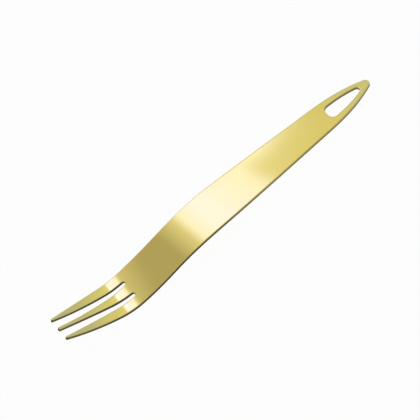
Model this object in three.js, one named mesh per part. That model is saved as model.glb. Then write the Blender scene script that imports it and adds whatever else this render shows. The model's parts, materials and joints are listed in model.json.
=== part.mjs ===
// A table fork cut from one flat metal sheet: a leaf-shaped handle with a teardrop hanging eye,
// a shoulder that steps down to the neck, and tapering tines that sweep up again.
// Millimetres, +Z up. It lies as on a table, on the end of its handle and the belly under its tines.
// +X points to the end of the handle and the origin is below the middle of the fork.

import * as THREE from 'three';

// The sheet
const SHEET_THICKNESS = 1.5;

// Lengths along the sheet, in order from the end of the handle to the tips of the tines
const EYE_ZONE_LENGTH = 27;
const HANDLE_LENGTH = 54.9;
const SHOULDER_LENGTH = 29.3;
const NECK_LENGTH = 9.8;
const TINE_ROOT_LENGTH = 11.4;
const TINE_LENGTH = 35.6;

// Bends seen from the side, in degrees: the shoulder turns down, then a straight ramp, then the belly,
// the heel of the tines and the tines turn up
const SHOULDER_TURN = 15.4;
const RAMP_LENGTH = 4;
const BELLY_TURN = 8.8;
const HEEL_LENGTH = 10.6;
const HEEL_TURN = 25.7;
const TINE_TURN = 8.9;

// Full widths of the sheet, and how fast each side widens there, in mm of half width per mm of length
const HANDLE_END_RADIUS = 1.9;
const HANDLE_END_FLARE = 0.4;
const LEAF_WIDTH = 13.5;
const LEAF_FLARE = 0.047;
const SHOULDER_WIDTH = 18.5;
const SHOULDER_FLARE = 0.034;
const NECK_WIDTH = 18.2;
const TINE_ROOT_WIDTH = 18.1;
const TINE_ROOT_FLARE = -0.028;
const TINE_TIP_FLARE = -0.17;

// The slots between the tines: round at the root and wider towards the tips
const SLOT_ROOT_WIDTH = 1.9;
const SLOT_TIP_WIDTH = 4.0;
const MIDDLE_TINE_ROOT_WIDTH = 4.95;
const MIDDLE_TINE_TIP_WIDTH = 1.4;
const MIDDLE_TINE_ROOT_FLARE = -0.07;
const MIDDLE_TINE_TIP_FLARE = -0.01;
const OUTER_TINE_TIP_WIDTH = 1.0;
const TIP_CORNER_RADIUS = 0.4;

// The teardrop hanging eye: a round narrow end towards the end of the handle, bowed sides, and a wide end
// that is flat between two round corners
const EYE_SETBACK = 5.3;
const EYE_LENGTH = 17.6;
const EYE_NARROW_RADIUS = 1.4;
const EYE_NARROW_SLOPE = 0.28;
const EYE_WIDTH = 6.5;
const EYE_CORNER_RADIUS = 2.5;
const EYE_WIDE_SLOPE = 0.02;

// Fineness of the facets
const FLAT_STEP = 8;
const BEND_STEP = 1.4;
const ROUND_SEGMENTS = 6;
const CURVE_SEGMENTS = 14;

// Look of the sheet
const GOLD = 0xcdb865;
const SHEET_ROUGHNESS = 0.34;
const SHEET_METALNESS = 1.0;

// Stations along the sheet
const eyeZoneEnd = EYE_ZONE_LENGTH;
const shoulderStart = eyeZoneEnd + HANDLE_LENGTH;
const neckStart = shoulderStart + SHOULDER_LENGTH;
const rampEnd = neckStart + RAMP_LENGTH;
const neckEnd = neckStart + NECK_LENGTH;
const tineStart = neckEnd + TINE_ROOT_LENGTH;
const heelEnd = tineStart + HEEL_LENGTH;
const tineEnd = tineStart + TINE_LENGTH;

// Side profile of the sheet's middle plane: straight runs and arcs, each with its length and its turn

const profileRuns = [
  { length: shoulderStart, turn: 0 },
  { length: SHOULDER_LENGTH, turn: -SHOULDER_TURN },
  { length: RAMP_LENGTH, turn: 0 },
  { length: tineStart - rampEnd, turn: BELLY_TURN },
  { length: HEEL_LENGTH, turn: HEEL_TURN },
  { length: tineEnd - heelEnd, turn: TINE_TURN },
];

// Follows a run for a distance from its start pose and returns the pose there
function follow(pose, run, distance) {
  const turn = THREE.MathUtils.degToRad(run.turn) * distance / run.length;
  const chordAngle = pose.angle + turn / 2;
  const chord = turn === 0 ? distance : distance * Math.sin(turn / 2) / (turn / 2);
  return {
    forward: pose.forward + chord * Math.cos(chordAngle),
    up: pose.up + chord * Math.sin(chordAngle),
    angle: pose.angle + turn,
  };
}

// Pose of the middle plane at a station along the sheet
function poseAt(station) {
  let pose = { forward: 0, up: 0, angle: 0 };
  let left = station;
  for (const run of profileRuns) {
    const isLast = run === profileRuns.at(-1);
    const distance = isLast ? left : Math.min(left, run.length);
    pose = follow(pose, run, distance);
    left -= distance;
  }
  return pose;
}

// A point of the bent sheet: station along it, distance across it, height above its middle plane
function bend(station, across, height) {
  const pose = poseAt(station);
  const forward = pose.forward - height * Math.sin(pose.angle);
  const up = pose.up + height * Math.cos(pose.angle);
  return new THREE.Vector3(-forward, across, up);
}

// Outline of the flat sheet

// A smooth edge between two knots, each with its station, its half width and its flare
function edgeCurve(from, to) {
  const third = (to.station - from.station) / 3;
  return new THREE.CubicBezierCurve(
    new THREE.Vector2(from.station, from.half),
    new THREE.Vector2(from.station + third, from.half + third * from.flare),
    new THREE.Vector2(to.station - third, to.half - third * to.flare),
    new THREE.Vector2(to.station, to.half),
  );
}

// The curve's points are evenly spaced along the sheet, so a station gives the curve's parameter
function halfWidthOn(curve, station) {
  const start = curve.v0.x;
  const end = curve.v3.x;
  return curve.getPoint((station - start) / (end - start)).y;
}

const slotRootRadius = SLOT_ROOT_WIDTH / 2;
const slotCentreStation = tineStart + slotRootRadius;
const tipHalfSpread = MIDDLE_TINE_TIP_WIDTH / 2 + SLOT_TIP_WIDTH + OUTER_TINE_TIP_WIDTH;

// Where the round end of the handle runs into its flared side
const endAngle = Math.atan2(1, HANDLE_END_FLARE);
const handleEndKnot = {
  station: HANDLE_END_RADIUS * (1 - Math.cos(endAngle)),
  half: HANDLE_END_RADIUS * Math.sin(endAngle),
  flare: HANDLE_END_FLARE,
};
const sideKnots = [
  handleEndKnot,
  { station: eyeZoneEnd, half: LEAF_WIDTH / 2, flare: LEAF_FLARE },
  { station: shoulderStart, half: SHOULDER_WIDTH / 2, flare: SHOULDER_FLARE },
  { station: neckStart, half: NECK_WIDTH / 2, flare: 0 },
  { station: tineStart, half: TINE_ROOT_WIDTH / 2, flare: TINE_ROOT_FLARE },
  { station: tineEnd, half: tipHalfSpread, flare: TINE_TIP_FLARE },
];
const sideCurves = sideKnots.slice(1).map((knot, i) => edgeCurve(sideKnots[i], knot));

const middleTineCurve = edgeCurve(
  { station: slotCentreStation, half: MIDDLE_TINE_ROOT_WIDTH / 2, flare: MIDDLE_TINE_ROOT_FLARE },
  { station: tineEnd, half: MIDDLE_TINE_TIP_WIDTH / 2, flare: MIDDLE_TINE_TIP_FLARE },
);

// Half width of the whole sheet
function side(station) {
  const curve = sideCurves.find((c) => station <= c.v3.x) ?? sideCurves.at(-1);
  return halfWidthOn(curve, station);
}

// The two edges of a slot. Before the centre of its round root they run together on a half circle.
function slotEdges(station) {
  if (station < slotCentreStation) {
    const centre = MIDDLE_TINE_ROOT_WIDTH / 2 + slotRootRadius;
    const before = Math.min(slotCentreStation - station, slotRootRadius);
    const half = Math.sqrt(slotRootRadius ** 2 - before ** 2);
    return { inner: centre - half, outer: centre + half };
  }
  const along = (station - slotCentreStation) / (tineEnd - slotCentreStation);
  const inner = halfWidthOn(middleTineCurve, station);
  return { inner, outer: inner + THREE.MathUtils.lerp(SLOT_ROOT_WIDTH, SLOT_TIP_WIDTH, along) };
}

// How far a tine's edges draw in at its rounded tip corners
function tipInset(station) {
  const past = Math.max(station - (tineEnd - TIP_CORNER_RADIUS), 0);
  return TIP_CORNER_RADIUS - Math.sqrt(Math.max(TIP_CORNER_RADIUS ** 2 - past ** 2, 0));
}

// Stations of the facets

// Evenly spaced stations from one end of a stretch to the other
function stationsBetween(from, to, step) {
  const count = Math.max(Math.ceil((to - from) / step), 1);
  return Array.from({ length: count + 1 }, (_, i) => THREE.MathUtils.lerp(from, to, i / count));
}

// Stations around a quarter circle that starts square to the sheet's length, or ends square to it
function stationsOnRound(from, radius, endsSquare) {
  return Array.from({ length: ROUND_SEGMENTS + 1 }, (_, i) => {
    const angle = (i / ROUND_SEGMENTS) * Math.PI / 2;
    return from + radius * (endsSquare ? Math.sin(angle) : 1 - Math.cos(angle));
  });
}

const tineStations = [
  ...stationsOnRound(tineStart, slotRootRadius, false),
  ...stationsBetween(slotCentreStation, tineEnd - TIP_CORNER_RADIUS, BEND_STEP).slice(1),
  ...stationsOnRound(tineEnd - TIP_CORNER_RADIUS, TIP_CORNER_RADIUS, true).slice(1),
];
const neckStations = [
  ...stationsBetween(neckStart, rampEnd, FLAT_STEP),
  ...stationsBetween(rampEnd, neckEnd, BEND_STEP).slice(1),
];
const tineRootStations = stationsBetween(neckEnd, tineStart, BEND_STEP);

// Solids

// A closed strip of the bent sheet between two edges, each given as a function of the station
function strip(stations, lowEdge, highEdge) {
  const positions = [];
  const triangles = [];
  const quad = (a, b, c, d) => triangles.push(a, b, c, a, c, d);
  const half = SHEET_THICKNESS / 2;
  stations.forEach((station, i) => {
    const low = lowEdge(station);
    const high = highEdge(station);
    const ring = [[low, -half], [high, -half], [high, half], [low, half]];
    ring.forEach(([across, height]) => positions.push(...bend(station, across, height)));
    if (i === 0) return;
    for (let corner = 0; corner < ring.length; corner += 1) {
      const next = (corner + 1) % ring.length;
      const before = (i - 1) * ring.length;
      const here = i * ring.length;
      quad(before + corner, here + corner, here + next, before + next);
    }
  });
  const last = positions.length / 3 - 4;
  quad(0, 1, 2, 3);
  quad(last + 3, last + 2, last + 1, last);
  const geometry = new THREE.BufferGeometry();
  geometry.setAttribute('position', new THREE.Float32BufferAttribute(positions, 3));
  geometry.setIndex(triangles);
  geometry.computeVertexNormals();
  return geometry;
}

// The full width of the sheet over a stretch
function fullStrip(stations) {
  return strip(stations, (station) => -side(station), side);
}

// The teardrop of the hanging eye
function eyePath() {
  const narrowCentre = EYE_SETBACK + EYE_NARROW_RADIUS;
  const cornerStation = EYE_SETBACK + EYE_LENGTH - EYE_CORNER_RADIUS;
  const cornerHalf = EYE_WIDTH / 2 - EYE_CORNER_RADIUS;
  const quarter = Math.PI / 2;
  const lean = Math.atan(EYE_NARROW_SLOPE);
  const eyeSide = edgeCurve(
    {
      station: narrowCentre - EYE_NARROW_RADIUS * Math.sin(lean),
      half: EYE_NARROW_RADIUS * Math.cos(lean),
      flare: EYE_NARROW_SLOPE,
    },
    { station: cornerStation, half: EYE_WIDTH / 2, flare: EYE_WIDE_SLOPE },
  );
  const { v0, v1, v2, v3 } = eyeSide;
  const path = new THREE.Path();
  path.absarc(narrowCentre, 0, EYE_NARROW_RADIUS, quarter + lean, -quarter - lean, false);
  path.bezierCurveTo(v1.x, -v1.y, v2.x, -v2.y, v3.x, -v3.y);
  path.absarc(cornerStation, -cornerHalf, EYE_CORNER_RADIUS, -quarter, 0, false);
  path.absarc(cornerStation, cornerHalf, EYE_CORNER_RADIUS, 0, quarter, false);
  path.bezierCurveTo(v2.x, v2.y, v1.x, v1.y, v0.x, v0.y);
  return path;
}

// The leaf-shaped end of the handle, with the eye through it
function eyeZone() {
  const leaf = sideCurves[0];
  const shape = new THREE.Shape();
  shape.moveTo(leaf.v3.x, -leaf.v3.y);
  shape.bezierCurveTo(leaf.v2.x, -leaf.v2.y, leaf.v1.x, -leaf.v1.y, leaf.v0.x, -leaf.v0.y);
  shape.absarc(HANDLE_END_RADIUS, 0, HANDLE_END_RADIUS, Math.PI + endAngle, Math.PI - endAngle, true);
  shape.bezierCurveTo(leaf.v1.x, leaf.v1.y, leaf.v2.x, leaf.v2.y, leaf.v3.x, leaf.v3.y);
  shape.closePath();
  shape.holes.push(eyePath());
  const geometry = new THREE.ExtrudeGeometry(shape, {
    depth: SHEET_THICKNESS,
    bevelEnabled: false,
    curveSegments: CURVE_SEGMENTS,
  });
  // The pattern runs along +X from the end of the handle. A half turn about Z lays it with that end forward.
  geometry.translate(0, 0, -SHEET_THICKNESS / 2);
  geometry.rotateZ(Math.PI);
  return geometry;
}

// The fork, still level with its handle

const fork = new THREE.Group();

function addZone(name, geometry) {
  const material = new THREE.MeshStandardMaterial({
    color: GOLD,
    roughness: SHEET_ROUGHNESS,
    metalness: SHEET_METALNESS,
  });
  const mesh = new THREE.Mesh(geometry, material);
  mesh.name = name;
  fork.add(mesh);
}

addZone('hanging_eye', eyeZone());
addZone('handle', fullStrip(stationsBetween(eyeZoneEnd, shoulderStart, FLAT_STEP)));
addZone('shoulder', fullStrip(stationsBetween(shoulderStart, neckStart, BEND_STEP)));
addZone('neck', fullStrip(neckStations));
addZone('tine_root', fullStrip(tineRootStations));

const outerEdge = (station) => side(station) - tipInset(station);
const slotOuter = (station) => slotEdges(station).outer + tipInset(station);
const slotInner = (station) => slotEdges(station).inner - tipInset(station);
addZone('left_tine', strip(tineStations, (s) => -outerEdge(s), (s) => -slotOuter(s)));
addZone('middle_tine', strip(tineStations, (s) => -slotInner(s), slotInner));
addZone('right_tine', strip(tineStations, slotOuter, outerEdge));

// Laid on the table: the underside of the handle's end and the lowest line of the belly both touch z = 0

const underside = -SHEET_THICKNESS / 2;
const handleEnd = bend(0, 0, underside);
const drops = [...tineRootStations, ...tineStations].map((station) => {
  const below = bend(station, 0, underside).sub(handleEnd);
  return Math.atan2(-below.z, -below.x);
});
fork.rotation.y = Math.max(...drops);
fork.updateMatrixWorld(true);
const lying = new THREE.Box3().setFromObject(fork, true);
fork.position.set(-(lying.min.x + lying.max.x) / 2, 0, -lying.min.z);

const part = new THREE.Group();
part.add(fork);

export default part;
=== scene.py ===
"""Looks of a sheet-metal fork: its bent blank, its gold finish and the stage that shows it."""
import json
import math

import bmesh
import bpy
from bpy.props import FloatProperty, FloatVectorProperty, IntProperty, PointerProperty
from bpy.types import Operator, Panel, PropertyGroup
from mathutils import Matrix, Vector
from mathutils.geometry import interpolate_bezier


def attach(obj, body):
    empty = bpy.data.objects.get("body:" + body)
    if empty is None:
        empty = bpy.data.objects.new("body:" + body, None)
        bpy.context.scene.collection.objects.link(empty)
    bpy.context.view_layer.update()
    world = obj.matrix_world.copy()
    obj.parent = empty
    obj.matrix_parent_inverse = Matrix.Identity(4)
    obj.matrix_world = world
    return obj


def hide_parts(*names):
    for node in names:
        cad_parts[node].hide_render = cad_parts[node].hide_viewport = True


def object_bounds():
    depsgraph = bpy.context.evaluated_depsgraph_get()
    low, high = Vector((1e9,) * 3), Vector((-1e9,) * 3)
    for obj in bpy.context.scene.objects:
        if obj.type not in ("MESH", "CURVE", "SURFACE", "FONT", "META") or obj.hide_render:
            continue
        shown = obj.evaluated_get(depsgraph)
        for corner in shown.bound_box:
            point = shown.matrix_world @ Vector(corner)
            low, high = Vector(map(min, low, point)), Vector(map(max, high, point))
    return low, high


bl_info = {
    "name": "Sheet Metal Fork",
    "version": (1, 0, 0),
    "blender": (4, 5, 0),
    "location": "View3D > Sidebar > Fork",
    "description": "Builds a bent sheet-metal fork with a hanging eye, and a studio stage for it",
    "category": "Object",
}

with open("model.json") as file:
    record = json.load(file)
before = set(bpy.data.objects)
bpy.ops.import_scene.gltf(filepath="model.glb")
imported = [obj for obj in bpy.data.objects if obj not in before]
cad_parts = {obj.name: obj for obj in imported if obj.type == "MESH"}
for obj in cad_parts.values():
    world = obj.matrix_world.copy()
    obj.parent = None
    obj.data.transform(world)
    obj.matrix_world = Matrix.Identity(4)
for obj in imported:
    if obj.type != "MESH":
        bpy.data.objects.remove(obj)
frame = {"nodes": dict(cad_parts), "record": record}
CAD_LOW, CAD_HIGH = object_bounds()
BODY = "root"
# The sheet's materials, in the order of their indices
FACE, WALL, EDGE = range(3)
# A face of the flat sheet is a cut wall where its normal rises less than this
WALL_RISE = 0.5
# A facet of a broken edge is polished like the face where its normal rises more than this
FACE_RISE = 0.8
# Points nearer to each other than this are one point, in metres
SAME_POINT = 1e-7
# An edge runs straight across the sheet where its ends' stations differ by less than this, in metres
SAME_STATION = 1e-6
# How far a noise makes a share uneven: the paler gold near the eye, and the paler edges and walls
UNEVENNESS = 0.6
WHITE = (1.0, 1.0, 1.0, 1.0)


# Properties


def length(name, description, default):
    """A length in metres that a user may change."""
    return FloatProperty(name=name, description=description, default=default, precision=5, unit="LENGTH")


def turn(name, description, degrees):
    """An angle that a user may change, with its default given in degrees."""
    return FloatProperty(name=name, description=description, default=math.radians(degrees), unit="ROTATION")


def share(name, description, default):
    """A plain number from 0 to 1."""
    return FloatProperty(name=name, description=description, default=default, min=0.0, max=1.0)


def ratio(name, description, default):
    """A plain number with no unit."""
    return FloatProperty(name=name, description=description, default=default, precision=4)


def count(name, description, default):
    """A number of steps."""
    return IntProperty(name=name, description=description, default=default, min=1)


def colour(name, description, default):
    """A linear colour."""
    return FloatVectorProperty(
        name=name, description=description, default=default, size=3, min=0.0, max=1.0, subtype="COLOR"
    )


def spot(name, description, default):
    """A point in the shared frame, in metres."""
    return FloatVectorProperty(
        name=name,
        description=description,
        default=default,
        size=3,
        precision=5,
        subtype="TRANSLATION",
        unit="LENGTH",
    )


class ForkSizes(PropertyGroup):
    """Sizes of the flat blank and of its bends. Lengths run from the end of the handle to the tine tips."""

    thickness: length("Sheet thickness", "Thickness of the metal sheet", 0.0015)
    edge_round: length("Edge rounding", "Radius of the broken edges of the sheet", 0.0002)
    eye_zone: length("Eye zone", "Length of the leaf-shaped end of the handle", 0.027)
    handle: length("Handle", "Length of the flat blade of the handle", 0.0549)
    shoulder: length("Shoulder", "Length of the downward bend", 0.0293)
    ramp: length("Ramp", "Length of the straight ramp below the shoulder", 0.004)
    neck: length("Neck", "Length of the neck, from the shoulder to the tine root", 0.0098)
    tine_root: length("Tine root", "Length from the neck to the roots of the slots", 0.0114)
    tine: length("Tines", "Length of the tines along the sheet", 0.0356)
    heel: length("Heel", "Length of the tight bend at the roots of the tines", 0.0106)
    shoulder_turn: turn("Shoulder turn", "How far the shoulder turns down", 15.4)
    belly_turn: turn("Belly turn", "How far the belly turns up between the ramp and the tines", 8.8)
    heel_turn: turn("Heel turn", "How far the heel of the tines turns up", 25.7)
    tine_turn: turn("Tine turn", "How far the tines sweep up after their heel", 8.9)
    end_radius: length("End radius", "Radius of the round end of the handle", 0.0019)
    end_flare: ratio("End flare", "Slope of the side where the round end meets it", 0.4)
    leaf_width: length("Leaf width", "Full width at the inner end of the eye zone", 0.0135)
    leaf_flare: ratio("Leaf flare", "Slope of the side at the inner end of the eye zone", 0.047)
    shoulder_width: length("Shoulder width", "Full width where the shoulder starts", 0.0185)
    shoulder_flare: ratio("Shoulder flare", "Slope of the side where the shoulder starts", 0.034)
    neck_width: length("Neck width", "Full width where the neck starts", 0.0182)
    root_width: length("Root width", "Full width at the roots of the slots", 0.0181)
    root_flare: ratio("Root flare", "Slope of the side at the roots of the slots", -0.028)
    tip_flare: ratio("Tip flare", "Slope of the side at the tips of the tines", -0.17)
    slot_root: length("Slot root", "Width of a slot at its round root", 0.0019)
    slot_tip: length("Slot mouth", "Width of a slot between the tine tips", 0.004)
    middle_root: length("Middle tine root", "Width of the middle tine at its root", 0.00495)
    middle_tip: length("Middle tine tip", "Width of the middle tine at its tip", 0.0014)
    middle_root_flare: ratio("Middle root flare", "Slope of the middle tine's side at its root", -0.07)
    middle_tip_flare: ratio("Middle tip flare", "Slope of the middle tine's side at its tip", -0.01)
    outer_tip: length("Outer tine tip", "Width of an outer tine at its tip", 0.001)
    tip_corner: length("Tip corner", "Radius of the corners of the tine tips", 0.0004)
    eye_setback: length("Eye setback", "From the end of the handle to the eye", 0.0053)
    eye_length: length("Eye length", "Length of the teardrop eye", 0.0176)
    eye_narrow: length("Eye narrow radius", "Radius of the narrow end of the eye", 0.0014)
    eye_slope: ratio("Eye slope", "Slope of the eye's side at its narrow end", 0.28)
    eye_width: length("Eye width", "Full width of the eye at its wide end", 0.0065)
    eye_corner: length("Eye corner", "Radius of the corners of the eye's wide end", 0.0025)
    eye_wide_slope: ratio("Eye wide slope", "Slope of the eye's side at its wide end", 0.02)
    bend_step: length("Bend step", "Spacing of the cross cuts that let the sheet bend", 0.0009)
    curve_steps: count("Curve steps", "Steps along each curved edge", 18)
    arc_steps: count("Arc steps", "Steps along each round corner", 8)
    edge_steps: count("Edge steps", "Steps around each broken edge", 3)


class ForkFinish(PropertyGroup):
    """Colours and gloss of the sheet."""

    face_colour: colour("Face", "Polished gold face of the sheet", (0.87, 0.71, 0.245))
    cloud_colour: colour("Clouding", "Slightly cooler gold that clouds the face", (0.85, 0.70, 0.235))
    # Paler, cooler gold on the face near the eye
    eye_end_colour: colour("Worn gold", "Paler gold where the sheet is rubbed near the eye", (0.82, 0.70, 0.33))
    # Painted shade: near-black gold standing in for the dark surroundings that the broken edges reflect
    edge_shade_colour: colour("Broken edge", "Burnished gold along the broken edges", (0.07, 0.054, 0.012))
    # Painted shade: the cut walls and their paler streaks are near black, standing in for the dark
    # surroundings that the walls reflect
    wall_shade_colour: colour("Cut wall", "Dark metal of the cut walls", (0.02, 0.016, 0.003))
    wall_streak: colour("Cut streaks", "Paler streaks in the cut walls", (0.06, 0.048, 0.01))
    # Painted reflection: paler broken edges and cut walls along the handle, where brighter surroundings are
    # reflected
    handle_edge_sheen: colour("Rubbed edge", "Paler broken edges along the handle", (0.5, 0.41, 0.13))
    handle_wall_sheen: colour("Rubbed wall", "Paler cut walls along the handle", (0.17, 0.14, 0.045))
    # How much paler the edges and walls are at the tips of the tines
    tip_paling: share("Tine rub", "How much the edges are rubbed at the tips of the tines", 0.5)
    stray_rub: share("Stray rub", "How much the broken edges are rubbed everywhere", 0.2)
    soft_edge: length("Soft edge", "How far the polishing rounds the face towards its edges", 0.0007)
    grain_depth: length("Grain depth", "Depth of the fine grain of the face", 0.00001)
    nick_depth: length("Nick depth", "Depth of the nicks in the broken edges", 0.00002)
    streak_depth: length("Streak depth", "Depth of the streaks in the cut walls", 0.00003)
    face_roughness: share("Face roughness", "Roughness of the polished face", 0.085)
    edge_roughness: share("Edge roughness", "Roughness of the broken edges", 0.24)
    wall_roughness: share("Wall roughness", "Roughness of the cut walls", 0.46)


class ForkStage(PropertyGroup):
    """Camera, softboxes, room and floor."""

    azimuth: turn("Azimuth", "Camera direction around the fork", -12.9)
    elevation: turn("Elevation", "Camera height above the horizon", 60.19)
    roll: turn("Roll", "How far the picture is turned", 29.71)
    distance: length("Distance", "From the camera to the middle of the fork", 0.6)
    focal: ratio("Focal length", "Focal length in millimetres on a 36 mm sensor", 125.66)
    aim: spot("Aim", "Point in the middle of the picture", (-0.00393, 0.00062, 0.00561))
    key_spot: spot("Key spot", "Middle of the key softbox", (0.05506, 0.22591, 0.25))
    key_length: length("Key length", "Length of the key softbox", 0.4)
    key_depth: length("Key depth", "Depth of the key softbox", 0.376)
    key_turn: turn("Key turn", "How far the key softbox is turned about the vertical", 20.0)
    key_skew: ratio("Key skew", "How far the near side of the key softbox slants along it", 0.228)
    key_hinge: share("Key hinge", "Place along the key softbox where its near side keeps its distance", 0.35)
    key_radiance: ratio("Key radiance", "Radiance of the key softbox at full strength", 2.5)
    key_core: colour("Key core", "Cool light in the middle of the key softbox", (0.3, 0.335, 1.0))
    key_rim: colour("Key rim", "Light around the core of the key softbox", (0.28, 0.315, 0.68))
    key_skirt: colour("Key skirt", "Dim light at the near end of the key softbox", (0.135, 0.147, 0.155))
    key_warm: colour("Key warm", "Warm dim light beyond the core of the key softbox", (0.158, 0.162, 0.13))
    key_tail: colour("Key tail", "Warm light near the far end of the key softbox", (0.08, 0.092, 0.024))
    glow_spot: spot("Glow spot", "Middle of the glow softbox", (0.195, 0.29, 0.5))
    glow_length: length("Glow length", "Length of the glow softbox", 0.09)
    glow_depth: length("Glow depth", "Depth of the glow softbox", 0.044)
    glow_radiance: ratio("Glow radiance", "Radiance of the glow softbox at full strength", 2.1)
    glow_core: colour("Glow core", "Cool light in the middle of the glow softbox", (0.245, 0.335, 1.0))
    room: colour("Room", "Warm grey of the room around the fork", (0.5, 0.49, 0.4))
    haze: colour("Haze", "Paler wall beside the window", (0.6, 0.63, 0.62))
    window: colour("Window side", "Cool light of the room beyond the end of the handle", (0.54, 0.64, 0.86))
    floor_size: length("Floor size", "Side of the square floor", 6.0)
    floor_colour: colour("Floor", "Pale floor", (0.9, 0.9, 0.9))
    floor_white: share("Floor white", "How much of the floor's look is plain white", 0.96)


# Shader maths


class Wire:
    """A socket of a node tree. Arithmetic on it adds Math nodes."""

    def __init__(self, tree, socket):
        self.tree = tree
        self.socket = socket

    @classmethod
    def node(cls, tree, kind, settings=None, inputs=None, output=0):
        """Adds any node: its settings first, then the values or links of its sockets."""
        made = tree.nodes.new(kind)
        for name, value in (settings or {}).items():
            if name == "stops":
                cls.set_stops(made.color_ramp, value)
            else:
                setattr(made, name, value)
        for name, value in (inputs or {}).items():
            if isinstance(value, Wire):
                tree.links.new(value.socket, made.inputs[name])
            else:
                made.inputs[name].default_value = value
        return cls(tree, made.outputs[output]) if made.outputs else made

    @staticmethod
    def set_stops(ramp, stops):
        """Gives a colour ramp its stops, each a position and a grey level or a colour."""
        for i, (position, level) in enumerate(stops):
            stop = ramp.elements[i] if i < len(ramp.elements) else ramp.elements.new(position)
            stop.position = position
            stop.color = (level, level, level, 1.0) if isinstance(level, float) else (*level, 1.0)

    def math(self, operation, left, right):
        """Adds a Math node."""
        return Wire.node(self.tree, "ShaderNodeMath", {"operation": operation}, {0: left, 1: right})

    def __add__(self, other):
        return self.math("ADD", self, other)

    def __radd__(self, other):
        return self.math("ADD", other, self)

    def __sub__(self, other):
        return self.math("SUBTRACT", self, other)

    def __rsub__(self, other):
        return self.math("SUBTRACT", other, self)

    def __mul__(self, other):
        return self.math("MULTIPLY", self, other)

    def __rmul__(self, other):
        return self.math("MULTIPLY", other, self)


def blank_tree(owner):
    """The emptied node tree of a material, world or lamp."""
    owner.use_nodes = True
    owner.node_tree.nodes.clear()
    return owner.node_tree


def parts(tree, vector, axes):
    """The parts of a vector along the named axes, as wires."""
    return [Wire.node(tree, "ShaderNodeSeparateXYZ", None, {"Vector": vector}, output=axis) for axis in axes]


def ramp(tree, value, stops):
    """A colour that follows a value through stops."""
    return Wire.node(tree, "ShaderNodeValToRGB", {"stops": stops}, {"Fac": value})


def rise(tree, value, start, end, high=1.0):
    """A number that goes smoothly from 0 to high while the value goes from start to end."""
    return Wire.node(
        tree,
        "ShaderNodeMapRange",
        {"interpolation_type": "SMOOTHSTEP"},
        {"Value": value, "From Min": start, "From Max": end, "To Max": high},
    )


def mixed(tree, factor, first, second):
    """A colour between two colours, each a plain colour or a wire."""
    first, second = (end if isinstance(end, Wire) else (*end, 1.0) for end in (first, second))
    return Wire.node(tree, "ShaderNodeMix", {"data_type": "RGBA"}, {0: factor, 6: first, 7: second}, output=2)


def forward_place(tree):
    """A place on the piece along the shared frame's X axis, in metres."""
    place = Wire.node(tree, "ShaderNodeTexCoord", output="Object")
    return parts(tree, place, "X")[0]


def noise(tree, scale, detail, stretch=(1.0, 1.0, 1.0)):
    """Noise from 0 to 1 in the piece's own coordinates, stretched where a number is small."""
    place = Wire.node(tree, "ShaderNodeTexCoord", output="Object")
    spread = Wire.node(tree, "ShaderNodeMapping", None, {"Vector": place, "Scale": stretch})
    return Wire.node(tree, "ShaderNodeTexNoise", None, {"Vector": spread, "Scale": scale, "Detail": detail})


def swing(level, spread):
    """A noise from 0 to 1 turned into a change to both sides of 0."""
    return (level - 0.5) * spread


def uneven(amount, level):
    """An amount that a noise makes uneven."""
    return amount * (1.0 + swing(level, UNEVENNESS))


def bump(tree, height, strength, depth, normal=None):
    """A surface normal pushed about by a height, on top of another normal where one is given."""
    inputs = {"Height": height, "Strength": strength, "Distance": depth}
    if normal is not None:
        inputs["Normal"] = normal
    return Wire.node(tree, "ShaderNodeBump", None, inputs)


def rounded(tree, radius):
    """A surface normal that turns over the edges within a radius."""
    return Wire.node(tree, "ShaderNodeBevel", {"samples": 8}, {"Radius": radius})


def metal(name, paint):
    """A metal material. paint gets its tree and returns its colour, roughness and normal."""
    material = bpy.data.materials.new(name)
    tree = blank_tree(material)
    base, roughness, normal = paint(tree)
    looks = {"Base Color": base, "Roughness": roughness, "Normal": normal, "Metallic": 1.0}
    surface = Wire.node(tree, "ShaderNodeBsdfPrincipled", None, looks)
    Wire.node(tree, "ShaderNodeOutputMaterial", None, {"Surface": surface})
    return material


# Finishes of the sheet, with shade and reflections painted on its cut walls and broken edges


class Marks:
    """Places along the shared frame's X axis where the finish changes."""

    def __init__(self, sizes, at, place):
        def forward(station):
            return bent(Vector((station, 0.0, 0.0)), sizes, at, place).x

        self.eye_middle = forward(sizes.eye_setback + sizes.eye_length / 2)
        self.eye_end = forward(sizes.eye_setback + sizes.eye_length)
        self.handle = forward(at.shoulder - sizes.handle / 2)
        self.neck = forward(at.neck)
        self.root = forward(at.tines)
        self.tips = forward(at.tips)


def edge_paling(tree, finish, marks):
    """How much paler the edges and walls are: fully along the handle and fading out towards the neck, a
    painted reflection of the brighter surroundings there, and half as much at the tips of the tines.
    """
    along = forward_place(tree)
    on_handle = rise(tree, along, marks.neck, marks.handle)
    return on_handle + rise(tree, along, marks.root, marks.tips, finish.tip_paling)


def polished_face(finish, marks):
    """Polished gold with a fine grain along the fork, faint clouds from handling, and paler, cooler gold
    around the eye.
    """

    def paint(tree):
        cloud = noise(tree, scale=42.0, detail=3.0)
        smear = noise(tree, scale=150.0, detail=2.0, stretch=(0.5, 1.0, 1.0))
        grain = noise(tree, scale=1.0, detail=4.0, stretch=(70.0, 5200.0, 70.0))
        near_eye = rise(tree, forward_place(tree), marks.eye_end, marks.eye_middle)
        clouded = mixed(tree, cloud, finish.face_colour, finish.cloud_colour)
        # Paler, cooler gold towards the eye, made uneven by a noise
        base = mixed(tree, uneven(near_eye, smear), clouded, finish.eye_end_colour)
        blur = swing(cloud, spread=0.05) + swing(smear, spread=0.04) + swing(grain, spread=0.05)
        soft = rounded(tree, finish.soft_edge)
        normal = bump(tree, grain, strength=0.05, depth=finish.grain_depth, normal=soft)
        return base, finish.face_roughness + blur, normal

    return metal("polished_gold_face", paint)


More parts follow.
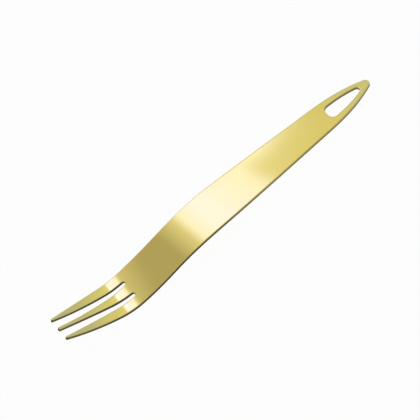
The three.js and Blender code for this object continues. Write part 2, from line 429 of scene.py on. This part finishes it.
def shaded_edge(finish, marks):
    """The broken edge: near black, a painted shade for the dark surroundings it reflects; paler along the
    handle as a painted reflection, half as much at the tips of the tines, and rubbed paler here and there.
    """

    def paint(tree):
        rub = noise(tree, scale=260.0, detail=3.0)
        nick = noise(tree, scale=2400.0, detail=2.0)
        # Near-black edge colour as painted shade, mixed towards paler gold along the handle as painted
        # reflection, half as much at the tine tips, and in random rubs
        paler_mix = uneven(edge_paling(tree, finish, marks), rub) + rub * finish.stray_rub
        base = mixed(tree, paler_mix, finish.edge_shade_colour, finish.handle_edge_sheen)
        roughness = finish.edge_roughness + swing(rub, spread=0.12)
        return base, roughness, bump(tree, nick, strength=0.12, depth=finish.nick_depth)

    return metal("shaded_edge", paint)


def cut_wall(finish, marks):
    """The cut wall of the sheet: near black, a painted shade for the dark surroundings it reflects, with fine
    streaks across its thickness; paler along the handle as a painted reflection, and half as much at the tips
    of the tines.
    """

    def paint(tree):
        streak = noise(tree, scale=1.0, detail=3.0, stretch=(2600.0, 2600.0, 260.0))
        patch = noise(tree, scale=190.0, detail=2.0)
        # Near-black wall colour with paler streaks as painted shade, mixed towards paler walls along the
        # handle as painted reflection, and half as much at the tine tips
        paler_mix = uneven(edge_paling(tree, finish, marks), streak)
        dark = mixed(tree, streak * patch, finish.wall_shade_colour, finish.wall_streak)
        base = mixed(tree, paler_mix, dark, finish.handle_wall_sheen)
        roughness = finish.wall_roughness + swing(patch, spread=0.16)
        return base, roughness, bump(tree, streak, strength=0.25, depth=finish.streak_depth)

    return metal("dark_cut_wall", paint)


# Outline of the flat blank, in stations along the sheet and distances across it


def smooth_edge(start, end, steps):
    """Points of a smooth edge between two knots, each a station, a half width and a flare."""
    start_station, start_half, start_flare = start
    end_station, end_half, end_flare = end
    third = (end_station - start_station) / 3.0
    knots = [
        Vector((start_station, start_half, 0.0)),
        Vector((start_station + third, start_half + third * start_flare, 0.0)),
        Vector((end_station - third, end_half - third * end_flare, 0.0)),
        Vector((end_station, end_half, 0.0)),
    ]
    return interpolate_bezier(*knots, steps + 1)


def arc(centre, radius, start, end, steps):
    """Points of a round corner, with its angles measured from the direction of the tine tips."""
    station, across = centre
    angles = [start + (end - start) * i / steps for i in range(steps + 1)]
    return [Vector((station + radius * math.cos(a), across + radius * math.sin(a), 0.0)) for a in angles]


def chained(*runs):
    """Runs of points as one line, without the points that two runs share."""
    line = []
    for point in (p for run in runs for p in run):
        if not line or (point - line[-1]).length > SAME_POINT:
            line.append(point)
    return line


class Stations:
    """Stations along the sheet, from the end of the handle to the tips of the tines."""

    def __init__(self, sizes):
        self.eye_zone_end = sizes.eye_zone
        self.shoulder = self.eye_zone_end + sizes.handle
        self.neck = self.shoulder + sizes.shoulder
        self.ramp_end = self.neck + sizes.ramp
        self.tines = self.neck + sizes.neck + sizes.tine_root
        self.slot_centre = self.tines + sizes.slot_root / 2
        self.heel_end = self.tines + sizes.heel
        self.tips = self.tines + sizes.tine
        self.before_tips = self.tips - sizes.tip_corner


def handle_side(sizes, at):
    """The round end of the handle and the side of the sheet, up to the roots of the tines."""
    meet = math.atan2(1.0, sizes.end_flare)
    radius = sizes.end_radius
    knots = [
        (radius * (1.0 - math.cos(meet)), radius * math.sin(meet), sizes.end_flare),
        (at.eye_zone_end, sizes.leaf_width / 2, sizes.leaf_flare),
        (at.shoulder, sizes.shoulder_width / 2, sizes.shoulder_flare),
        (at.neck, sizes.neck_width / 2, 0.0),
        (at.tines, sizes.root_width / 2, sizes.root_flare),
    ]
    runs = [arc((radius, 0.0), radius, math.pi, math.pi - meet, sizes.arc_steps)]
    runs += [smooth_edge(a, b, sizes.curve_steps) for a, b in zip(knots, knots[1:])]
    return runs


def outer_tine(sizes, at):
    """An outer tine: its outer side, its blunt tip and its side along the slot, back to the root."""
    corner = sizes.tip_corner
    inner_tip = sizes.middle_tip / 2 + sizes.slot_tip
    outer_tip = inner_tip + sizes.outer_tip
    side_start = (at.tines, sizes.root_width / 2, sizes.root_flare)
    side_end = (at.before_tips, outer_tip - corner * sizes.tip_flare, sizes.tip_flare)
    outer = smooth_edge(side_start, side_end, sizes.curve_steps)
    top = arc((at.before_tips, outer_tip - corner), corner, math.pi / 2, 0.0, sizes.arc_steps)
    bottom = arc((at.before_tips, inner_tip + corner), corner, 0.0, -math.pi / 2, sizes.arc_steps)
    widening = (sizes.slot_tip - sizes.slot_root) / (at.tips - at.slot_centre)
    root_half = sizes.middle_root / 2 + sizes.slot_root
    root_knot = (at.slot_centre, root_half, sizes.middle_root_flare + widening)
    tip_knot = (at.before_tips, inner_tip, sizes.middle_tip_flare + widening)
    inner = smooth_edge(root_knot, tip_knot, sizes.curve_steps)
    return [outer, top, bottom, inner[::-1]]


def middle_tine(sizes, at):
    """The round root of a slot and one half of the middle tine, to the middle of its tip."""
    corner = sizes.tip_corner
    root_half = sizes.middle_root / 2
    tip_half = sizes.middle_tip / 2
    radius = sizes.slot_root / 2
    centre = (at.slot_centre, root_half + radius)
    root = arc(centre, radius, math.pi / 2, 1.5 * math.pi, 2 * sizes.arc_steps)
    root_knot = (at.slot_centre, root_half, sizes.middle_root_flare)
    tip_knot = (at.before_tips, tip_half, sizes.middle_tip_flare)
    side = smooth_edge(root_knot, tip_knot, sizes.curve_steps)
    top = arc((at.before_tips, tip_half - corner), corner, math.pi / 2, 0.0, sizes.arc_steps)
    return [root, side, top, [Vector((at.tips, 0.0, 0.0))]]


def half_eye(sizes):
    """One half of the teardrop eye, from its wide end to its narrow end."""
    narrow_centre = sizes.eye_setback + sizes.eye_narrow
    wide_end = sizes.eye_setback + sizes.eye_length
    corner_station = wide_end - sizes.eye_corner
    corner = (corner_station, sizes.eye_width / 2 - sizes.eye_corner)
    lean = math.atan(sizes.eye_slope)
    start = narrow_centre - sizes.eye_narrow * math.sin(lean)
    narrow_knot = (start, sizes.eye_narrow * math.cos(lean), sizes.eye_slope)
    corner_knot = (corner_station, sizes.eye_width / 2, sizes.eye_wide_slope)
    side = smooth_edge(narrow_knot, corner_knot, sizes.curve_steps)
    wide = arc(corner, sizes.eye_corner, 0.0, math.pi / 2, sizes.arc_steps)
    narrow = arc((narrow_centre, 0.0), sizes.eye_narrow, math.pi / 2 + lean, math.pi, sizes.arc_steps)
    return [[Vector((wide_end, 0.0, 0.0))], wide, side[::-1], narrow]


# The bent sheet


def follow(pose, run_length, run_turn, distance):
    """Follows a straight run or an arc for a distance. A pose is forward, up and angle."""
    forward, up, angle = pose
    part_turn = run_turn * distance / run_length
    chord = distance if part_turn == 0.0 else distance * math.sin(part_turn / 2) / (part_turn / 2)
    heading = angle + part_turn / 2
    return forward + chord * math.cos(heading), up + chord * math.sin(heading), angle + part_turn


def pose_at(sizes, at, station):
    """Pose of the sheet's middle plane at a station, level with the handle."""
    runs = [
        (at.shoulder, 0.0),
        (sizes.shoulder, -sizes.shoulder_turn),
        (sizes.ramp, 0.0),
        (at.tines - at.ramp_end, sizes.belly_turn),
        (sizes.heel, sizes.heel_turn),
        (at.tips - at.heel_end, sizes.tine_turn),
    ]
    pose = (0.0, 0.0, 0.0)
    left = station
    for run_length, run_turn in runs:
        distance = min(left, run_length)
        pose = follow(pose, run_length, run_turn, distance)
        left -= distance
    return pose


def resting_place(thickness):
    """Lays the sheet as the solids lie: tilted like the handle's face, its end at the end of their box."""
    axis = next(m["axis"] for m in frame["record"]["mounts"] if m["name"] == "handle_top")
    tilt = math.atan2(axis[0], axis[2])
    end = Vector((CAD_HIGH.x - thickness / 2 * math.sin(tilt), 0.0, thickness / 2 * math.cos(tilt)))
    return Matrix.Translation(end) @ Matrix.Rotation(tilt, 4, "Y")


def bent(point, sizes, at, place):
    """Where a point of the flat blank goes when the sheet is bent and laid down."""
    forward, up, angle = pose_at(sizes, at, point.x)
    lifted = Vector((-forward + point.z * math.sin(angle), point.y, up + point.z * math.cos(angle)))
    return place @ lifted


def flat_half(bm, sizes, at):
    """Half of the flat blank as one face, bounded by its side, its tines, the middle line and the eye."""
    line = chained(
        *handle_side(sizes, at),
        *outer_tine(sizes, at),
        *middle_tine(sizes, at),
        *half_eye(sizes),
    )
    bm.faces.new([bm.verts.new(point) for point in line])
    bmesh.ops.triangulate(bm, faces=bm.faces[:], ngon_method="EAR_CLIP")


def cross_cuts(bm, sizes, at):
    """Cuts the blank across at even steps from the shoulder to the tips, so that it can bend there."""
    steps = math.ceil((at.tips - at.shoulder) / sizes.bend_step)
    for i in range(steps):
        station = at.shoulder + (at.tips - at.shoulder) * i / steps
        bmesh.ops.bisect_plane(
            bm,
            geom=bm.verts[:] + bm.edges[:] + bm.faces[:],
            dist=SAME_POINT,
            plane_co=(station, 0.0, 0.0),
            plane_no=(1.0, 0.0, 0.0),
        )
    inner = [edge for edge in bm.edges if len(edge.link_faces) == 2]
    slanting = [edge for edge in inner if abs(edge.verts[0].co.x - edge.verts[1].co.x) > SAME_STATION]
    bmesh.ops.dissolve_edges(bm, edges=slanting, use_verts=False)
    passed = [vert for vert in bm.verts if len(vert.link_edges) == 2 and not vert.is_boundary]
    bmesh.ops.dissolve_verts(bm, verts=passed)


def full_blank(bm):
    """Mirrors the half blank over the middle line."""
    geometry = bm.verts[:] + bm.edges[:] + bm.faces[:]
    bmesh.ops.mirror(bm, geom=geometry, matrix=Matrix.Identity(4), merge_dist=SAME_POINT, axis="Y")
    bmesh.ops.remove_doubles(bm, verts=bm.verts[:], dist=SAME_POINT)
    bmesh.ops.recalc_face_normals(bm, faces=bm.faces[:])


def between_materials(edge):
    """Whether an edge lies between faces of different materials."""
    return len({face.material_index for face in edge.link_faces}) > 1


def thickened(bm, sizes):
    """Gives the blank its thickness, centred on its middle plane, and breaks its edges."""
    bmesh.ops.solidify(bm, geom=bm.faces[:], thickness=sizes.thickness)
    bmesh.ops.recalc_face_normals(bm, faces=bm.faces[:])
    low = min(v.co.z for v in bm.verts)
    bmesh.ops.translate(bm, verts=bm.verts[:], vec=(0.0, 0.0, -low - sizes.thickness / 2))
    for face in bm.faces:
        face.material_index = WALL if abs(face.normal.z) < WALL_RISE else FACE
    broken = bmesh.ops.bevel(
        bm,
        geom=[edge for edge in bm.edges if between_materials(edge)],
        offset=sizes.edge_round,
        offset_type="OFFSET",
        segments=sizes.edge_steps,
        profile=0.5,
        affect="EDGES",
        material=-1,
    )
    bm.normal_update()
    for face in broken["faces"]:
        face.material_index = FACE if abs(face.normal.z) > FACE_RISE else EDGE


def sheet_mesh(sizes, at, place):
    """The mesh of the fork: a flat blank that is outlined, cut across, mirrored, thickened and bent."""
    bm = bmesh.new()
    flat_half(bm, sizes, at)
    cross_cuts(bm, sizes, at)
    full_blank(bm)
    thickened(bm, sizes)
    for vert in bm.verts:
        vert.co = bent(vert.co, sizes, at, place)
    bmesh.ops.recalc_face_normals(bm, faces=bm.faces[:])
    for face in bm.faces:
        face.smooth = True
    for edge in bm.edges:
        edge.smooth = not between_materials(edge)
    mesh = bpy.data.meshes.new("fork_sheet")
    bm.to_mesh(mesh)
    bm.free()
    return mesh


class FORK_OT_sheet(Operator):
    """Builds the fork from one flat blank and gives it its gold finish."""

    bl_idname = "fork.sheet"
    bl_label = "Bent Sheet"

    def execute(self, context):
        sizes = context.scene.fork_sizes
        finish = context.scene.fork_finish
        at = Stations(sizes)
        place = resting_place(sizes.thickness)
        mesh = sheet_mesh(sizes, at, place)
        marks = Marks(sizes, at, place)
        for surface in (polished_face, cut_wall, shaded_edge):
            mesh.materials.append(surface(finish, marks))
        sheet = bpy.data.objects.new("fork_sheet", mesh)
        context.scene.collection.objects.link(sheet)
        even = sheet.modifiers.new("even_shading", "WEIGHTED_NORMAL")
        even.keep_sharp = True
        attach(sheet, BODY)
        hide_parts(*sorted(frame["nodes"]))
        return {"FINISHED"}


# The stage


def background_rays(tree):
    """Whether a ray comes from the camera, off a gloss or through a clear body, as wires of 0 or 1."""
    kinds = ("Is Camera Ray", "Is Glossy Ray", "Is Transmission Ray")
    return [Wire.node(tree, "ShaderNodeLightPath", output=kind) for kind in kinds]


def pale_floor(stage):
    """A pale floor that keeps the fork's shadow and reads as nearly white."""
    mesh = bpy.data.meshes.new("floor")
    bm = bmesh.new()
    bmesh.ops.create_grid(bm, x_segments=1, y_segments=1, size=stage.floor_size / 2)
    bm.to_mesh(mesh)
    bm.free()
    material = bpy.data.materials.new("pale_floor")
    tree = blank_tree(material)
    camera, glossy, clear = background_rays(tree)
    lit = Wire.node(tree, "ShaderNodeBsdfDiffuse", None, {"Color": (*stage.floor_colour, 1.0)})
    white = Wire.node(tree, "ShaderNodeEmission", None, {"Color": WHITE, "Strength": 1.0})
    factor = (camera + glossy + clear) * stage.floor_white
    surface = Wire.node(tree, "ShaderNodeMixShader", None, {0: factor, 1: lit, 2: white})
    Wire.node(tree, "ShaderNodeOutputMaterial", None, {"Surface": surface})
    mesh.materials.append(material)
    floor = bpy.data.objects.new("floor", mesh)
    bpy.context.scene.collection.objects.link(floor)


def grey_room(stage):
    """A grey room that lights the fork. The camera sees it as white, and a gloss does so low down."""
    world = bpy.data.worlds.new("grey_room")
    bpy.context.scene.world = world
    tree = blank_tree(world)
    camera, glossy, clear = background_rays(tree)
    direction = Wire.node(tree, "ShaderNodeTexCoord", output="Generated")
    forward, height = parts(tree, direction, "XZ")
    low = ramp(tree, height, [(0.1, 1.0), (0.35, 0.0)])
    walls = ramp(tree, forward, [(0.5, stage.room), (0.66, stage.haze), (0.76, stage.window)])
    room = Wire.node(tree, "ShaderNodeBackground", None, {"Color": walls, "Strength": 1.0})
    white = Wire.node(tree, "ShaderNodeBackground", None, {"Color": WHITE, "Strength": 1.0})
    factor = camera + clear + glossy * low
    surface = Wire.node(tree, "ShaderNodeMixShader", None, {0: factor, 1: room, 2: white})
    Wire.node(tree, "ShaderNodeOutputWorld", None, {"Surface": surface})


def softbox(name, place, size, turned, radiance, fades, skew=(0.0, 0.0)):
    """A level softbox whose light fades along it and across it. A skew slants its sides about a hinge."""
    lamp = bpy.data.lights.new(name, "AREA")
    lamp.shape = "RECTANGLE"
    lamp.size, lamp.size_y = size
    lamp.energy = radiance * math.pi * lamp.size * lamp.size_y
    tree = blank_tree(lamp)
    surface = Wire.node(tree, "ShaderNodeNewGeometry", output="Parametric")
    along, across = parts(tree, surface, "XY")
    fade_along, fade_across = fades
    slant, hinge = skew
    lengthwise = ramp(tree, along, fade_along)
    crosswise = ramp(tree, across + (along - hinge) * slant, fade_across)
    faded = Wire.node(tree, "ShaderNodeVectorMath", {"operation": "MULTIPLY"}, {0: lengthwise, 1: crosswise})
    light = Wire.node(tree, "ShaderNodeEmission", None, {"Color": faded, "Strength": 1.0})
    Wire.node(tree, "ShaderNodeOutputLight", None, {"Surface": light})
    box = bpy.data.objects.new(name, lamp)
    box.matrix_world = Matrix.Translation(place) @ Matrix.Rotation(turned, 4, "Z")
    box.visible_camera = False
    bpy.context.scene.collection.objects.link(box)


def key_softbox(stage):
    """The large softbox above the far side: a cool core, dim at its near end and warm at its far end."""
    along = [
        (0.07, 0.0),
        (0.19, stage.key_skirt),
        (0.24, stage.key_rim),
        (0.33, stage.key_core),
        (0.44, stage.key_core),
        (0.511, stage.key_rim),
        (0.53, stage.key_warm),
        (0.81, stage.key_tail),
        (1.0, 0.0),
    ]
    across = [(0.128, 0.0), (0.207, 1.0), (0.9, 1.0), (1.0, 0.0)]
    size = (stage.key_length, stage.key_depth)
    skew = (stage.key_skew, stage.key_hinge)
    softbox("key_softbox", stage.key_spot, size, stage.key_turn, stage.key_radiance, (along, across), skew)


def glow_softbox(stage):
    """The small softbox that washes out the upper rim of the handle."""
    along = [(0.1, 0.0), (0.3, stage.glow_core), (0.45, stage.glow_core), (1.0, 0.0)]
    across = [(0.5, 0.0), (0.74, 1.0), (1.0, 0.8)]
    size = (stage.glow_length, stage.glow_depth)
    softbox("glow_softbox", stage.glow_spot, size, 0.0, stage.glow_radiance, (along, across))


def rolled_camera(stage):
    """The camera, rolled so that the fork runs across the picture."""
    azimuth, elevation, roll = stage.azimuth, stage.elevation, stage.roll
    back = Vector((
        math.sin(azimuth) * math.cos(elevation),
        -math.cos(azimuth) * math.cos(elevation),
        math.sin(elevation),
    ))
    level = Vector((math.cos(azimuth), math.sin(azimuth), 0.0))
    upright = back.cross(level)
    right = level * math.cos(roll) - upright * math.sin(roll)
    up = level * math.sin(roll) + upright * math.cos(roll)
    lens = bpy.data.cameras.new("camera")
    lens.lens = stage.focal
    holder = bpy.data.objects.new("camera", lens)
    turned = Matrix((right, up, back)).transposed().to_4x4()
    holder.matrix_world = Matrix.Translation(Vector(stage.aim) + back * stage.distance) @ turned
    bpy.context.scene.collection.objects.link(holder)
    bpy.context.scene.camera = holder


class FORK_OT_stage(Operator):
    """Sets up the floor, the room, the softboxes and the camera."""

    bl_idname = "fork.stage"
    bl_label = "Studio Stage"

    def execute(self, context):
        stage = context.scene.fork_stage
        pale_floor(stage)
        grey_room(stage)
        key_softbox(stage)
        glow_softbox(stage)
        rolled_camera(stage)
        context.scene.view_settings.view_transform = "Standard"
        return {"FINISHED"}


class FORK_PT_panel(Panel):
    """Lists the steps that build the fork and its stage."""

    bl_label = "Sheet Metal Fork"
    bl_idname = "FORK_PT_panel"
    bl_space_type = "VIEW_3D"
    bl_region_type = "UI"
    bl_category = "Fork"

    def draw(self, context):
        for step in (FORK_OT_sheet, FORK_OT_stage):
            self.layout.operator(step.bl_idname)


CLASSES = (ForkSizes, ForkFinish, ForkStage, FORK_OT_sheet, FORK_OT_stage, FORK_PT_panel)
GROUPS = {"fork_sizes": ForkSizes, "fork_finish": ForkFinish, "fork_stage": ForkStage}


def register():
    for cls in CLASSES:
        bpy.utils.register_class(cls)
    for name, group in GROUPS.items():
        setattr(bpy.types.Scene, name, PointerProperty(type=group))


def unregister():
    for name in GROUPS:
        delattr(bpy.types.Scene, name)
    for cls in reversed(CLASSES):
        bpy.utils.unregister_class(cls)


def main():
    register()
    bpy.ops.fork.sheet()
    bpy.ops.fork.stage()


if __name__ == "__main__":
    main()
